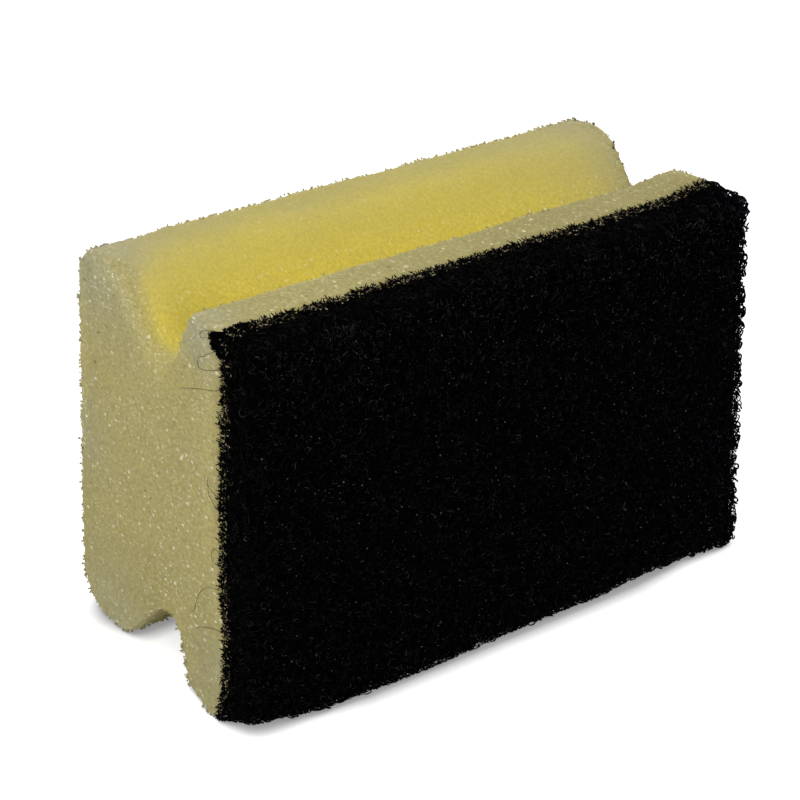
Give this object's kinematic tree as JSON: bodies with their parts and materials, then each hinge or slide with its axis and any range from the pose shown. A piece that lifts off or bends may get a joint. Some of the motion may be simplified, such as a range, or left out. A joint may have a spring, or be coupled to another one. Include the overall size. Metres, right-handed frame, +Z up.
{
  "type": "grip sponge",
  "caption": "Hand-held scrubbing sponge: a foam block with a finger groove along each long side and a thick rear grip ridge, faced with a coarse fibre scouring pad.",
  "frame": {"origin": "middle of the footprint, on the surface that the sponge stands on", "axes": "+X along the sponge's length, +Y from the scouring pad towards the back of the grip ridge, +Z up with the sponge standing on its long side"},
  "size_m": [0.105, 0.052, 0.07],
  "materials": {
    "foam": "pale yellow open-cell foam, matt, fine cells with a few bright specks",
    "adhesive": "thin dried adhesive film, hidden between foam and pad",
    "scouring_fibre": "black non-woven abrasive fibre, matt with tiny glints"
  },
  "bodies": {
    "root": {"foam_body": "foam", "adhesive_layer": "adhesive", "scouring_pad": "scouring_fibre"}
  },
  "joints": []
}
